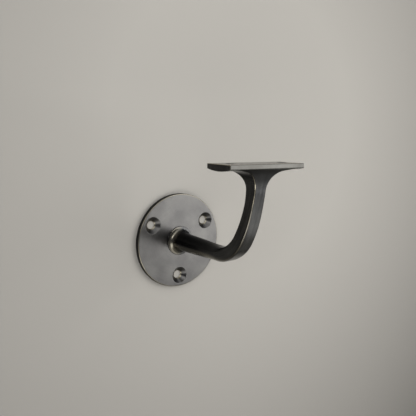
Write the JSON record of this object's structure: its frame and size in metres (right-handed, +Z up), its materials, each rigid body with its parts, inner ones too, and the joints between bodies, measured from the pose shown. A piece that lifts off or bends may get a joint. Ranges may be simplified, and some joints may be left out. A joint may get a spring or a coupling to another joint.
{
  "type": "handrail bracket",
  "caption": "Wall bracket that carries a handrail: a round screwed rose, a stem that bends upwards from round to square, and a flat saddle that is screwed to the rail from below.",
  "frame": {"origin": "centre of the rose's back face, on the wall", "axes": "+X along the wall and the rail, to the right as seen from the room, +Y into the wall, +Z up"},
  "size_m": [0.06, 0.0833, 0.083],
  "materials": {
    "rose_bronze": "turned brass, dark bronzed and satin lacquered",
    "arm_bronze": "cast brass, dark bronzed and satin lacquered, with rubbed arrises"
  },
  "bodies": {
    "root": {"wall_rose": "rose_bronze", "arm_and_saddle": "arm_bronze"}
  },
  "joints": []
}
